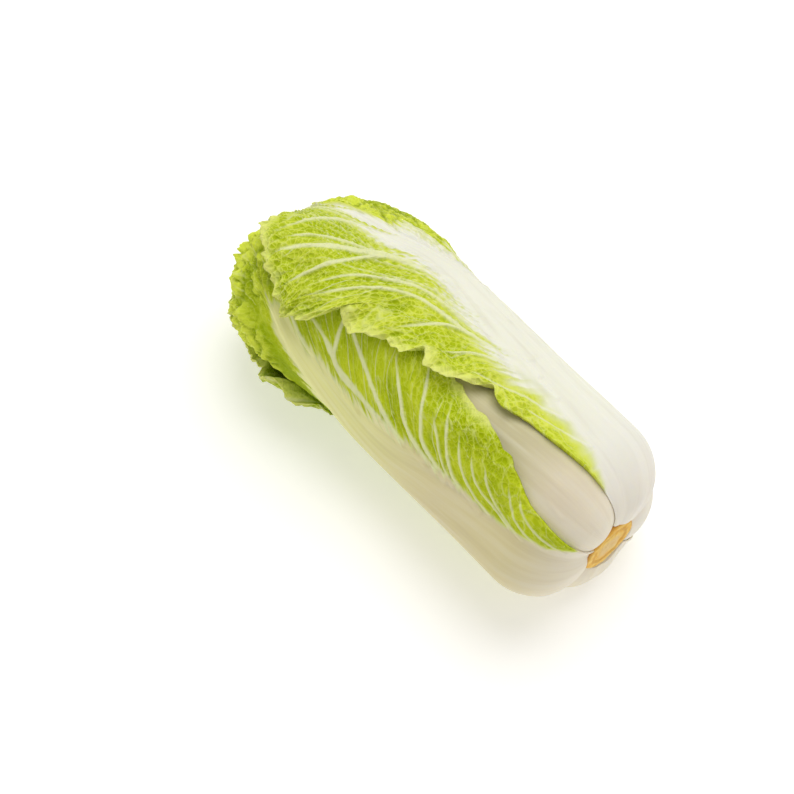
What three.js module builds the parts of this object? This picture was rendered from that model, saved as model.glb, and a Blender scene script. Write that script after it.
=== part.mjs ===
// Napa cabbage: one whole head lying on its side, butt towards +X, leafy top towards -X.
// Five big wrapper leaves lie on a dense heart in the real 2/5 spiral, each 144 degrees on from the last,
// and all of them spring from a short cut stem. Every leaf is a thick white rib that thins into a
// ribbed, frilled blade, and it follows whatever lies under it.
// Millimetres, +Z up, origin on the flat spot under the head.
import * as THREE from "three";

// ---- The head ----
const HEART_RADIUS = 54; // the heart's barrel and its round top
const DOME_STATION = 241; // station along the axis where the round top begins
const STEM_RADIUS = 22; // the cut stem at the leaf bases
const CUT_STATION = 5.5; // station of the cut face: the leaf bases come up level with it
const STEM_END_STATION = 12.4;
const STEM_CHAMFER = 1.6;
const SHOULDER_STATION = 13; // station where the leaf bases meet the stem
const SHOULDER_DEPTH = 30; // axial length of the rounded shoulder above the stem
const BEND = 10; // the leafy top bends this far towards -Y
const BEND_FROM = 180; // from this station on

// ---- How it lies ----
const REST_STATION = 160; // this station of the axis is level with the origin
const AXIS_ASIDE = 5.6; // the straight part of the axis lies this far towards +Y
const AXIS_HEIGHT = 66; // and this far above the surface

// ---- Leaf sections ----
const BLADE = 1.2; // blade thickness
const GAP = [[0, 0.9], [60, 1], [180, 2.4], [350, 2.4]]; // room between a leaf and what it lies on, along it
const REFERENCE_RADIUS = 66; // widths across a leaf are arcs on this radius
const RIB_BASE_HALF_WIDTH = 48; // the white rib's half width at the stem
const RIB_TIP_HALF_WIDTH = 4;
const RIB_THICKNESS = [[0, 5], [28, 10], [100, 8.5], [180, 5], [250, 2.6], [350, 1]]; // along the leaf
const VEIN_SWEEP = 105; // how far a side vein climbs between the rib and the margin
const VEIN_BEND = 0.62; // below 1, a side vein leaves the rib steeply and bends outwards
const VEIN_HEIGHT = 1.1;
const FRILL_HEIGHT = 8;
const FRILL_REACH = 34; // the frill dies out this far in from the margin
const FRILL_WAVES = 10; // waves from the stem to the tip, on each side
const ROUND_TIP = 90; // a leaf rounds off over this length
const LIFT_FLAT = 4; // a leaf is fully lifted this far outside the leaf under it
const DRAPE = 28; // and comes down again over this distance
const HEART_DRAPE = 46; // the same over the heart's own leaves
const CALM = 11; // veins and frill are calm this far out from under the leaf over them

// ---- Mesh density ----
const ROWS = 40; // one row in two is a side vein
const COLUMNS = 14;
const HEART_SECTORS = 40;

// The leaves from the inside out. angle is the rib's direction round the axis, from +Z towards +Y, in degrees;
// lean turns it by so much between two places along the leaf. width lists [along the leaf, half width].
// tip is the length that a blunter leaf rounds off over. flare lifts a margin: [side, height, from, to].
// calm is how far along a leaf lies flat before its frill is full.
const HEART_LEAVES = [
  { angle: 122, lean: [0, 0, 1], width: [[0, 50], [60, 50], [200, 74]], length: 368 },
  { angle: 266, lean: [0, 0, 1], width: [[0, 50], [60, 50], [200, 76]], length: 360 },
  { angle: 50, lean: [0, 0, 1], width: [[0, 50], [60, 50], [200, 78]], length: 352 },
  { angle: 194, lean: [0, 0, 1], width: [[0, 50], [60, 50], [200, 80]], length: 346 },
];
const WRAPPER_LEAVES = [
  { name: "leaf_1_top", angle: -20, lean: [4, 110, 250], width: [[0, 56], [80, 60], [210, 80]], length: 326 },
  { name: "leaf_2_rear", angle: 124, lean: [8, 110, 250], width: [[0, 58], [60, 60], [200, 84]], length: 334 },
  {
    name: "leaf_3_front", angle: -92, lean: [36, 140, 250],
    width: [[0, 58], [30, 65], [75, 80], [120, 93], [170, 98]], length: 332,
  },
  {
    name: "leaf_4_back", angle: 46, lean: [-14, 190, 262],
    width: [[0, 41], [30, 46], [65, 49], [105, 55], [150, 71], [185, 79], [218, 81], [246, 86], [280, 91]],
    length: 304, tip: 64, flare: [1, 6, 190, 290],
  },
  {
    name: "leaf_5_under", angle: 187, lean: [-2, 110, 250],
    width: [[0, 52], [110, 51], [170, 54], [205, 65], [230, 84], [250, 93]], length: 326, flare: [1, 3, 215, 310],
    calm: 205,
  },
];

const HEART_LEAF_STEP = 1.4; // how high each heart leaf stands on the one under it
const HEART_LEAF_FROM = [180, 235]; // the heart leaves show only beyond the wrappers' shoulders

const { clamp, degToRad, lerp } = THREE.MathUtils;
const smoothstep = (from, to, value) => {
  const t = clamp((value - from) / (to - from), 0, 1);
  return t * t * (3 - 2 * t);
};
// A smooth curve through the listed places.
const along = (table, value) => {
  const next = table.findIndex(([at]) => at > value);
  if (next < 0) return table.at(-1)[1];
  if (next === 0) return table[0][1];
  const slope = (k) => {
    const [[from, low], [to, high]] = [table[Math.max(k - 1, 0)], table[Math.min(k + 1, table.length - 1)]];
    return (high - low) / (to - from);
  };
  const [[from, low], [to, high]] = [table[next - 1], table[next]];
  const [span, rise, t] = [to - from, high - low, (value - from) / (to - from)];
  const bend = (1 - t) * (slope(next - 1) * span - rise) - t * (slope(next) * span - rise);
  return lerp(low, high, t) + t * (1 - t) * bend;
};

// ---- The base surface: shoulder, barrel and dome. y is the way along it from the stem. ----
const SHOULDER_RISE = HEART_RADIUS - STEM_RADIUS;
const SHOULDER_LENGTH = (Math.PI / 2) * Math.sqrt((SHOULDER_DEPTH ** 2 + SHOULDER_RISE ** 2) / 2);
const DOME_Y = SHOULDER_LENGTH + DOME_STATION - SHOULDER_STATION - SHOULDER_DEPTH;

// A place on the base surface, from a leaf's own coordinates: x across it and y along it.
// Head coordinates are (station, towards +Y, towards +Z).
function ribAngle(leaf, y) {
  const [turn, from, to] = leaf.lean;
  return degToRad(leaf.angle + turn * smoothstep(from, Math.min(to, DOME_Y), y));
}

function radial(angle) {
  return new THREE.Vector3(0, Math.sin(angle), Math.cos(angle));
}

function placeOn(leaf, x, y) {
  const turn = x / REFERENCE_RADIUS;
  if (y <= DOME_Y) return barrelPlace(y, ribAngle(leaf, y) + turn);
  const climb = (y - DOME_Y) / HEART_RADIUS;
  const middle = ribAngle(leaf, y);
  const direction = radial(middle).multiplyScalar(Math.cos(climb)).add(new THREE.Vector3(Math.sin(climb), 0, 0));
  direction.multiplyScalar(Math.cos(turn)).addScaledVector(radial(middle + Math.PI / 2), Math.sin(turn));
  return domePlace(direction);
}

function barrelPlace(y, angle) {
  const turn = Math.min(y / SHOULDER_LENGTH, 1) * (Math.PI / 2);
  const station = SHOULDER_STATION + SHOULDER_DEPTH * (1 - Math.cos(turn)) + Math.max(y - SHOULDER_LENGTH, 0);
  const outwards = radial(angle);
  const normal = outwards.clone().multiplyScalar(SHOULDER_DEPTH * Math.sin(turn));
  normal.x -= SHOULDER_RISE * Math.cos(turn);
  const point = outwards.multiplyScalar(STEM_RADIUS + SHOULDER_RISE * Math.sin(turn));
  point.x = station;
  return { point, normal: normal.normalize(), y, angle };
}

function domePlace(direction) {
  const point = direction.clone().multiplyScalar(HEART_RADIUS);
  point.x += DOME_STATION;
  return { point, normal: direction.clone(), direction };
}

// The same place in another leaf's coordinates.
function leafCoordinates(leaf, place) {
  if (!place.direction) {
    const turn = place.angle - ribAngle(leaf, place.y);
    return { x: REFERENCE_RADIUS * Math.atan2(Math.sin(turn), Math.cos(turn)), y: place.y };
  }
  const middle = ribAngle(leaf, DOME_Y);
  const across = clamp(place.direction.dot(radial(middle + Math.PI / 2)), -1, 1);
  const climb = Math.atan2(place.direction.x, place.direction.dot(radial(middle)));
  return { x: REFERENCE_RADIUS * Math.asin(across), y: DOME_Y + HEART_RADIUS * climb };
}

// ---- A leaf's outline and section ----
function halfWidth(leaf, y) {
  const tip = leaf.tip ?? ROUND_TIP;
  const round = clamp((y - leaf.length + tip) / tip, 0, 0.985);
  return along(leaf.width, y) * Math.sqrt(1 - round ** 2.6);
}

function halfOutline(leaf) {
  const points = [];
  for (let k = 0; k <= 40; k++) {
    const y = leaf.length * (1 - (1 - k / 40) ** 1.5);
    points.push(new THREE.Vector2(halfWidth(leaf, y), y));
  }
  points.push(new THREE.Vector2(0, leaf.length));
  return points;
}

// How far a place lies outside the leaf's outline; inside it is negative.
function outside(leaf, { x, y }) {
  leaf.outline ??= halfOutline(leaf);
  const here = new THREE.Vector2(Math.abs(x), y);
  const nearest = new THREE.Vector3();
  const line = new THREE.Line3();
  let distance = Infinity;
  for (let k = 1; k < leaf.outline.length; k++) {
    line.start.set(leaf.outline[k - 1].x, leaf.outline[k - 1].y, 0);
    line.end.set(leaf.outline[k].x, leaf.outline[k].y, 0);
    line.closestPointToPoint(new THREE.Vector3(here.x, here.y, 0), true, nearest);
    distance = Math.min(distance, Math.hypot(nearest.x - here.x, nearest.y - here.y));
  }
  return here.x < halfWidth(leaf, y) && y < leaf.length ? -distance : distance;
}

function ribHalfWidth(y) {
  return RIB_TIP_HALF_WIDTH + (RIB_BASE_HALF_WIDTH - RIB_TIP_HALF_WIDTH) * (1 - smoothstep(0, 300, y)) ** 1.3;
}

function thickness({ x, y }) {
  const share = Math.min(Math.abs(x) / ribHalfWidth(y), 1);
  return BLADE + along(RIB_THICKNESS, y) * (1 - share ** 2) ** 1.2;
}

// The thickness as the leaves over it see it: they drape over the rib without following its foot.
function drapedThickness({ x, y }) {
  const half = ribHalfWidth(y);
  const foot = half + lerp(8, 18, smoothstep(40, 160, y));
  return BLADE + along(RIB_THICKNESS, y) * (1 - smoothstep(0.2 * half, foot, Math.abs(x)));
}

const covers = (leaf, spot, flat, ramp) => 1 - smoothstep(flat, flat + ramp, outside(leaf, spot));

const gapAt = (place) => along(GAP, place.direction ? DOME_Y : place.y);

// What the leaves under a place add up to.
function lift(under, place) {
  let height = gapAt(place);
  for (const leaf of HEART_LEAVES) {
    const spot = leafCoordinates(leaf, place);
    height += HEART_LEAF_STEP * covers(leaf, spot, 9, HEART_DRAPE) * smoothstep(...HEART_LEAF_FROM, spot.y);
  }
  for (const leaf of under) {
    const spot = leafCoordinates(leaf, place);
    height += (drapedThickness(spot) + gapAt(place)) * covers(leaf, spot, LIFT_FLAT, DRAPE);
  }
  return height;
}

// 1 where nothing lies over a place, 0 where a leaf does.
function exposure(over, place) {
  return over.reduce((open, leaf) => open * (1 - covers(leaf, leafCoordinates(leaf, place), CALM, 12)), 1);
}

// ---- Rows: each is a side vein or the trough between two, from margin to margin through the rib ----
function marginStations(leaf) {
  const steps = 400;
  const sums = [0];
  for (let k = 1; k <= steps; k++) {
    const [low, high] = [((k - 1) / steps) * leaf.length, (k / steps) * leaf.length];
    const rise = Math.hypot(high - low, halfWidth(leaf, high) - halfWidth(leaf, low));
    const sparse = smoothstep(45, 75, high) * (1 - smoothstep(110, 150, high));
    sums.push(sums[k - 1] + rise * lerp(1, 0.6, sparse));
  }
  return Array.from({ length: ROWS + 1 }, (_, row) => {
    const wanted = (row / ROWS) * sums[steps];
    const k = Math.max(1, sums.findIndex((sum) => sum >= wanted - 1e-9));
    return ((k - 1 + (wanted - sums[k - 1]) / (sums[k] - sums[k - 1])) / steps) * leaf.length;
  });
}

function leafSpot(leaf, marginY, u) {
  const reach = halfWidth(leaf, marginY);
  const sweep = VEIN_SWEEP * smoothstep(0, 230, marginY) * (reach / leaf.width.at(-1)[1]);
  return { x: u * reach, y: marginY - sweep * (1 - Math.abs(u) ** VEIN_BEND), reach };
}

function frill(index, side, row) {
  const turn = (row / ROWS) * FRILL_WAVES * 2 * Math.PI;
  const wave = Math.sin(turn + index * 1.9 + side * 0.8);
  const swell = 0.75 + 0.25 * Math.sin(turn * 0.31 + index * 2.3 - side);
  return (0.5 + 0.5 * wave) * swell;
}

// ---- From head coordinates to the part's frame ----
function toFrame(place, height) {
  const at = place.point.clone().addScaledVector(place.normal, height);
  const bent = (Math.max(at.x - BEND_FROM, 0) / (DOME_STATION + HEART_RADIUS - BEND_FROM)) ** 2;
  return new THREE.Vector3(REST_STATION - at.x, at.y + AXIS_ASIDE - BEND * bent, at.z + AXIS_HEIGHT);
}

function closedGeometry(points, faces) {
  const geometry = new THREE.BufferGeometry();
  geometry.setAttribute("position", new THREE.Float32BufferAttribute(points.flatMap((p) => [p.x, p.y, p.z]), 3));
  geometry.setIndex(faces.flat());
  geometry.computeVertexNormals();
  return geometry;
}

function columnShare(column) {
  const t = (2 * column) / COLUMNS - 1;
  return 0.8 * t + 0.2 * t ** 3;
}

function leafGeometry(index) {
  const leaf = WRAPPER_LEAVES[index];
  const under = WRAPPER_LEAVES.slice(0, index);
  const over = WRAPPER_LEAVES.slice(index + 1);
  const stations = marginStations(leaf);
  const outer = [];
  const inner = [];
  for (let row = 0; row <= ROWS; row++) {
    for (let column = 0; column <= COLUMNS; column++) {
      const u = columnShare(column);
      const spot = leafSpot(leaf, stations[row], u);
      const place = placeOn(leaf, spot.x, spot.y);
      const open = exposure(over, place);
      const margin = 1 - smoothstep(0, FRILL_REACH, -outside(leaf, spot));
      const tipward = smoothstep(leaf.length - 60, leaf.length, spot.y);
      const calm = leaf.calm ?? 45;
      const waviness = smoothstep(calm, Math.max(calm + 30, 170), spot.y) * (1 - 0.5 * tipward);
      const waved = FRILL_HEIGHT * margin * waviness * open * frill(index, Math.sign(u), row);
      const [side, rise, from, to] = leaf.flare ?? [1, 0, 0, 1];
      const middle = (from + to) / 2;
      const swelling = smoothstep(from, middle, spot.y) * (1 - smoothstep(middle, to, spot.y));
      const flared = rise * smoothstep(0.35, 1, u * side) * swelling * open;
      const offRib = smoothstep(0.6, 1.1, Math.abs(spot.x) / ribHalfWidth(spot.y));
      const vein = row % 2 ? 0 : VEIN_HEIGHT * offRib * (1 - 0.6 * margin) * (0.3 + 0.7 * open);
      const floor = lift(under, place) + waved + flared;
      inner.push(toFrame(place, floor));
      outer.push(toFrame(place, floor + thickness(spot) + vein * smoothstep(40, 90, spot.y)));
    }
  }
  if (over.length === 0) outer.forEach((point) => (point.z = Math.max(point.z, 0)));

  const wide = COLUMNS + 1;
  const back = outer.length;
  const faces = [];
  const quad = (a, b, c, d) => faces.push([a, b, c], [a, c, d]);
  for (let row = 0; row < ROWS; row++) {
    for (let column = 0; column < COLUMNS; column++) {
      const [a, b] = [row * wide + column, row * wide + column + 1];
      const [d, c] = [a + wide, b + wide];
      const pair = column < COLUMNS / 2 ? [[a, b, c], [a, c, d]] : [[a, b, d], [b, c, d]]; // shorter diagonal
      pair.forEach(([i, j, k]) => faces.push([i, j, k], [back + i, back + k, back + j]));
    }
    const [left, right] = [row * wide, row * wide + COLUMNS];
    quad(left, left + wide, back + left + wide, back + left);
    quad(right + wide, right, back + right, back + right + wide);
  }
  for (let column = 0; column < COLUMNS; column++) {
    const tip = ROWS * wide + column;
    quad(column + 1, column, back + column, back + column + 1);
    quad(tip, tip + 1, back + tip + 1, back + tip);
  }
  return closedGeometry([...outer, ...inner], faces);
}

// ---- The heart: a solid of packed leaves, with the upper ones raised in turn round its top ----
function heartGeometry() {
  const rings = [];
  const domeRings = 13;
  for (const y of [0, 14, 30, SHOULDER_LENGTH, 120, 190, 225, DOME_Y]) {
    rings.push((angle) => barrelPlace(y, angle));
  }
  for (let ring = 1; ring < domeRings; ring++) {
    const climb = (ring / domeRings) * (Math.PI / 2);
    const up = new THREE.Vector3(Math.sin(climb), 0, 0);
    rings.push((angle) => domePlace(radial(angle).multiplyScalar(Math.cos(climb)).add(up)));
  }
  const raised = (place) => {
    let height = 0;
    for (const leaf of HEART_LEAVES) {
      const spot = leafCoordinates(leaf, place);
      const inside = 1 - smoothstep(-1, LIFT_FLAT, outside(leaf, spot));
      height += HEART_LEAF_STEP * inside * smoothstep(...HEART_LEAF_FROM, spot.y);
    }
    return height;
  };
  const points = [];
  for (const ring of rings) {
    for (let sector = 0; sector < HEART_SECTORS; sector++) {
      const place = ring((sector / HEART_SECTORS) * 2 * Math.PI);
      points.push(toFrame(place, raised(place)));
    }
  }
  const faces = [];
  for (let ring = 0; ring < rings.length - 1; ring++) {
    for (let sector = 0; sector < HEART_SECTORS; sector++) {
      const [a, b] = [sector, (sector + 1) % HEART_SECTORS].map((k) => ring * HEART_SECTORS + k);
      const [d, c] = [a + HEART_SECTORS, b + HEART_SECTORS];
      faces.push([a, b, c], [a, c, d]);
    }
  }
  const top = domePlace(new THREE.Vector3(1, 0, 0));
  const bottom = { point: new THREE.Vector3(SHOULDER_STATION, 0, 0), normal: new THREE.Vector3(-1, 0, 0) };
  const topIndex = points.push(toFrame(top, raised(top))) - 1;
  const bottomIndex = points.push(toFrame(bottom, 0)) - 1;
  const last = (rings.length - 1) * HEART_SECTORS;
  for (let sector = 0; sector < HEART_SECTORS; sector++) {
    const next = (sector + 1) % HEART_SECTORS;
    faces.push([bottomIndex, next, sector], [topIndex, last + sector, last + next]);
  }
  return closedGeometry(points, faces);
}

// ---- The cut stem: a short plug with a worn edge round its cut face ----
function stemGeometry() {
  const radius = STEM_RADIUS - 0.5;
  const profile = [
    [0, CUT_STATION], [radius - STEM_CHAMFER, CUT_STATION], [radius, CUT_STATION + STEM_CHAMFER],
    [radius, STEM_END_STATION], [0, STEM_END_STATION],
  ].map(([r, station]) => new THREE.Vector2(r, station));
  const geometry = new THREE.LatheGeometry(profile, 36);
  geometry.rotateZ(Math.PI / 2);
  geometry.translate(REST_STATION, AXIS_ASIDE, AXIS_HEIGHT);
  return geometry;
}

// ---- The part ----
const leafMaterial = new THREE.MeshStandardMaterial({ color: 0xd3dc8e, roughness: 0.5, metalness: 0 });
const heartMaterial = new THREE.MeshStandardMaterial({ color: 0xd9e07c, roughness: 0.55, metalness: 0 });
const stemMaterial = new THREE.MeshStandardMaterial({ color: 0xe2bd77, roughness: 0.75, metalness: 0 });

function piece(name, geometry, material) {
  const mesh = new THREE.Mesh(geometry, material);
  mesh.name = name;
  return mesh;
}

const cabbage = new THREE.Group();
cabbage.add(piece("cut_stem", stemGeometry(), stemMaterial));
cabbage.add(piece("heart", heartGeometry(), heartMaterial));
WRAPPER_LEAVES.forEach((leaf, index) => cabbage.add(piece(leaf.name, leafGeometry(index), leafMaterial)));
export default cabbage;
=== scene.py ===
# %% [markdown]
# A whole napa cabbage lies on a pale floor. It is a head of big wrapper leaves round a dense heart, and
# every leaf is a thick white rib that thins into a veined, blistered, frilled blade. Each leaf is made again
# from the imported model's rules, but finely enough for its veins, blisters and margin to be real shapes.

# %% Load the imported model
import bpy, bmesh, math
import numpy as np
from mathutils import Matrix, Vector


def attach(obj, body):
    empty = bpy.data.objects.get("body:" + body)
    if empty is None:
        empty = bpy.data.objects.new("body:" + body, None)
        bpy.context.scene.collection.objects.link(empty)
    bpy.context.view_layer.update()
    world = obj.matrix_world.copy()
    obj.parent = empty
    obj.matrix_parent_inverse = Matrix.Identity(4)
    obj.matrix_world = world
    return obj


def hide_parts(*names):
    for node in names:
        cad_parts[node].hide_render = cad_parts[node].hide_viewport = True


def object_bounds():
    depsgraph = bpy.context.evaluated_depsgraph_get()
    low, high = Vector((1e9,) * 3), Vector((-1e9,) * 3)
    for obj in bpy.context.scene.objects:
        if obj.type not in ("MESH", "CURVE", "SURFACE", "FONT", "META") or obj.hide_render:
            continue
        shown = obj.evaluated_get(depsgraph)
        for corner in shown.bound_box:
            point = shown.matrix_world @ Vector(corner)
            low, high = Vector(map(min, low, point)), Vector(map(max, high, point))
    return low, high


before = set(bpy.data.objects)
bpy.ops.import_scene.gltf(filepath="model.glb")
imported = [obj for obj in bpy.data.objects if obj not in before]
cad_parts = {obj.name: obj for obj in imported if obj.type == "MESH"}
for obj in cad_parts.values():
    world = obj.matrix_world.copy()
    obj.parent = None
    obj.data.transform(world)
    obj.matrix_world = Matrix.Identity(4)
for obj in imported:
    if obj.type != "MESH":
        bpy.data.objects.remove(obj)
packed_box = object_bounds()
print(len(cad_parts), "packed nodes in the box", packed_box)

# %% [markdown]
# The camera looks down on the head from the side of its cut stem, through a long lens. Two angles set its
# direction, and two slides in its own plane put the head off centre.

# %% Camera
AZIMUTH, ELEVATION = math.radians(46.5), math.radians(66.5)
DISTANCE, FOCAL_LENGTH = 2.0, 141.8
LOOK_AT = Vector((0, 0, 0.065))
SLIDE_RIGHT, SLIDE_UP = -0.0228, -0.0055
backwards = Vector((
    math.sin(AZIMUTH) * math.cos(ELEVATION),
    -math.cos(AZIMUTH) * math.cos(ELEVATION),
    math.sin(ELEVATION),
))
rightwards = Vector((math.cos(AZIMUTH), math.sin(AZIMUTH), 0))
upwards = backwards.cross(rightwards)

lens = bpy.data.cameras.new("camera")
lens.lens = FOCAL_LENGTH
lens.clip_end = 50
camera = bpy.data.objects.new("camera", lens)
camera.rotation_euler = backwards.to_track_quat("Z", "Y").to_euler()
camera.location = LOOK_AT + backwards * DISTANCE + rightwards * SLIDE_RIGHT + upwards * SLIDE_UP
bpy.context.scene.collection.objects.link(camera)
bpy.context.scene.camera = camera
bpy.context.scene.view_settings.view_transform = "Standard"

# %% [markdown]
# The first helpers are for curves. `smooth` eases from 0 to 1 between two values, and `along` reads a smooth
# curve through a short list of places. All of it works on whole arrays of points at once.

# %% Curves
def smooth(low, high, value):
    t = np.clip((value - low) / (high - low), 0, 1)
    return t * t * (3 - 2 * t)


def mix(low, high, share):
    return low + (high - low) * share


def along(table, value):
    at = np.array([row[0] for row in table], float)
    level = np.array([row[1] for row in table], float)
    numbers = np.arange(len(at))
    before, after = np.maximum(numbers - 1, 0), np.minimum(numbers + 1, len(at) - 1)
    slope = (level[after] - level[before]) / (at[after] - at[before])
    value = np.clip(value, at[0], at[-1])
    k = np.clip(np.searchsorted(at, value, side="right"), 1, len(at) - 1)
    span, rise = at[k] - at[k - 1], level[k] - level[k - 1]
    t = (value - at[k - 1]) / span
    bend = t * (1 - t) * ((1 - t) * (slope[k - 1] * span - rise) - t * (slope[k] * span - rise))
    return level[k - 1] + rise * t + bend


# %% [markdown]
# These are the head's own numbers, in millimetres: the heart under the leaves, how the head lies, how thick
# a leaf is, and where each leaf sits round the stem. `lean` turns its rib by so much between two places
# along it, `width` is a list of (along, half width), `tip` is the length that it rounds off over, `flare`
# lifts a margin, and the frill begins at `calm`. The numbers are the model's own, apart from leaf 4's
# `calm` and the `notches`, which the model doesn't have.

# %% The head's numbers
HEART_RADIUS, DOME_STATION = 54, 241
STEM_RADIUS, STEM_HEIGHT = 22, 12.4
SHOULDER_STATION, SHOULDER_DEPTH = 13, 30
BEND, BEND_FROM = 10, 180
REST_STATION, AXIS_ASIDE, AXIS_HEIGHT = 160, 5.6, 66
BLADE = 1.2
GAP = [[0, 0.9], [60, 1], [180, 2.4], [350, 2.4]]
REFERENCE_RADIUS = 66
RIB_BASE_HALF_WIDTH, RIB_TIP_HALF_WIDTH = 48, 4
RIB_THICKNESS = [[0, 5], [28, 10], [100, 8.5], [180, 5], [250, 2.6], [350, 1]]
VEIN_SWEEP, VEIN_BEND = 105, 0.62
FRILL_HEIGHT, FRILL_REACH, FRILL_WAVES = 8, 34, 10
ROUND_TIP = 90
LIFT_FLAT, DRAPE, HEART_DRAPE, CALM = 4, 28, 46, 11
WAVY_FROM = 45
ROWS = 40
HEART_LEAF_STEP, HEART_LEAF_FROM = 1.4, (180, 235)
SHOULDER_RISE = HEART_RADIUS - STEM_RADIUS
SHOULDER_LENGTH = (math.pi / 2) * math.sqrt((SHOULDER_DEPTH**2 + SHOULDER_RISE**2) / 2)
DOME_Y = SHOULDER_LENGTH + DOME_STATION - SHOULDER_STATION - SHOULDER_DEPTH

HEART_LEAVES = [
    dict(angle=angle, lean=(0, 0, 1), width=[[0, 50], [60, 50], [200, width]], length=length)
    for angle, width, length in ((122, 74, 368), (266, 76, 360), (50, 78, 352), (194, 80, 346))
]
WRAPPER_LEAVES = [
    dict(name="leaf_1_top", angle=-20, lean=(4, 110, 250), width=[[0, 56], [80, 60], [210, 80]], length=326),
    dict(name="leaf_2_rear", angle=124, lean=(8, 110, 250), width=[[0, 58], [60, 60], [200, 84]], length=334),
    dict(name="leaf_3_front", angle=-92, lean=(36, 140, 250),
         width=[[0, 58], [30, 65], [75, 80], [120, 93], [170, 98]], length=332),
    dict(name="leaf_4_back", angle=46, lean=(-14, 190, 262), flare=(1, 6, 190, 290), tip=64, calm=75,
         notches=((-1, 223, 14, 7), (-1, 166, 13, 6), (-1, 120, 4, 5)),
         width=[[0, 41], [30, 46], [65, 49], [105, 55], [150, 71], [185, 79], [218, 81], [246, 86],
                [280, 91]],
         length=304),
    dict(name="leaf_5_under", angle=187, lean=(-2, 110, 250), flare=(1, 3, 215, 310), calm=205,
         notches=((1, 312, 8, 14),),
         width=[[0, 52], [110, 51], [170, 54], [205, 65], [230, 84], [250, 93]], length=326),
]
print(len(WRAPPER_LEAVES), "wrapper leaves, the round top begins", round(DOME_Y, 1), "mm along them")

# %% [markdown]
# A leaf lies on the heart, so it has two coordinates: x across it and y along it. The surface that they
# run over is a shoulder above the stem, a straight barrel and a round top. `place_on` turns leaf
# coordinates into a place on that surface, and `leaf_coordinates` says where the same place is on another
# leaf, which is how a leaf knows what lies under it and over it.

# %% Places on the head
def rib_angle(leaf, y):
    turn, start, end = leaf["lean"]
    return np.radians(leaf["angle"] + turn * smooth(start, min(end, DOME_Y), y))


def radial(angle):
    return np.stack([np.zeros_like(angle), np.sin(angle), np.cos(angle)], axis=-1)


def place_on(leaf, x, y):
    turn, middle = x / REFERENCE_RADIUS, rib_angle(leaf, y)
    angle, low_y = middle + turn, np.minimum(y, DOME_Y)
    arc = np.minimum(low_y / SHOULDER_LENGTH, 1) * math.pi / 2
    point = radial(angle) * (STEM_RADIUS + SHOULDER_RISE * np.sin(arc))[..., None]
    point[..., 0] = SHOULDER_STATION + SHOULDER_DEPTH * (1 - np.cos(arc))
    point[..., 0] += np.maximum(low_y - SHOULDER_LENGTH, 0)
    normal = radial(angle) * (SHOULDER_DEPTH * np.sin(arc))[..., None]
    normal[..., 0] -= SHOULDER_RISE * np.cos(arc)
    climb = np.maximum(y - DOME_Y, 0) / HEART_RADIUS
    direction = radial(middle) * np.cos(climb)[..., None]
    direction[..., 0] += np.sin(climb)
    direction = direction * np.cos(turn)[..., None] + radial(middle + math.pi / 2) * np.sin(turn)[..., None]
    on_dome = y > DOME_Y
    point = np.where(on_dome[..., None], direction * HEART_RADIUS + np.array([DOME_STATION, 0, 0]), point)
    normal = np.where(on_dome[..., None], direction, normal / np.linalg.norm(normal, axis=-1, keepdims=True))
    return dict(point=point, normal=normal, y=low_y, angle=angle, direction=direction, on_dome=on_dome)


def leaf_coordinates(leaf, place):
    turn = place["angle"] - rib_angle(leaf, place["y"])
    x = REFERENCE_RADIUS * np.arctan2(np.sin(turn), np.cos(turn))
    middle = rib_angle(leaf, DOME_Y)
    across = np.clip(place["direction"] @ radial(middle + math.pi / 2), -1, 1)
    climb = np.arctan2(place["direction"][..., 0], place["direction"] @ radial(middle))
    dome_x, dome_y = REFERENCE_RADIUS * np.arcsin(across), DOME_Y + HEART_RADIUS * climb
    return np.where(place["on_dome"], dome_x, x), np.where(place["on_dome"], dome_y, place["y"])


def to_frame(place, height):
    at = place["point"] + place["normal"] * height[..., None]
    bent = (np.maximum(at[..., 0] - BEND_FROM, 0) / (DOME_STATION + HEART_RADIUS - BEND_FROM)) ** 2
    aside = at[..., 1] + AXIS_ASIDE - BEND * bent
    return np.stack([REST_STATION - at[..., 0], aside, at[..., 2] + AXIS_HEIGHT], axis=-1)


# %% [markdown]
# A leaf's outline is its half width along its length, drawn to a round tip. The rib is thickest near the
# stem, and the leaves over it drape across it without following its foot. `lift` adds up what lies under
# a place, and `exposure` is 1 where nothing lies over it.

# %% Outlines and layers
def way_to_line(x, y, line_x, line_y, k):
    """The way from a line's k-th stretch, across and along, and the share of it where it is nearest."""
    dx, dy = line_x[k] - line_x[k - 1], line_y[k] - line_y[k - 1]
    t = np.clip(((x - line_x[k - 1]) * dx + (y - line_y[k - 1]) * dy) / (dx * dx + dy * dy), 0, 1)
    return x - line_x[k - 1] - t * dx, y - line_y[k - 1] - t * dy, t


def half_width(leaf, y):
    tip = leaf.get("tip", ROUND_TIP)
    drawn_in = np.clip((y - leaf["length"] + tip) / tip, 0, 0.985)
    return along(leaf["width"], y) * np.sqrt(1 - drawn_in**2.6)


def outside(leaf, x, y):
    share = np.arange(41) / 40
    line_y = leaf["length"] * (1 - (1 - share) ** 1.5)
    line_x = np.append(half_width(leaf, line_y), 0)
    line_y = np.append(line_y, leaf["length"])
    across = np.abs(x)
    nearest = np.full(x.shape, 1e9)
    for k in range(1, len(line_x)):
        gap_x, gap_y, _ = way_to_line(across, y, line_x, line_y, k)
        nearest = np.minimum(nearest, gap_x * gap_x + gap_y * gap_y)
    nearest = np.sqrt(nearest)
    return np.where((across < half_width(leaf, y)) & (y < leaf["length"]), -nearest, nearest)


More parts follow.
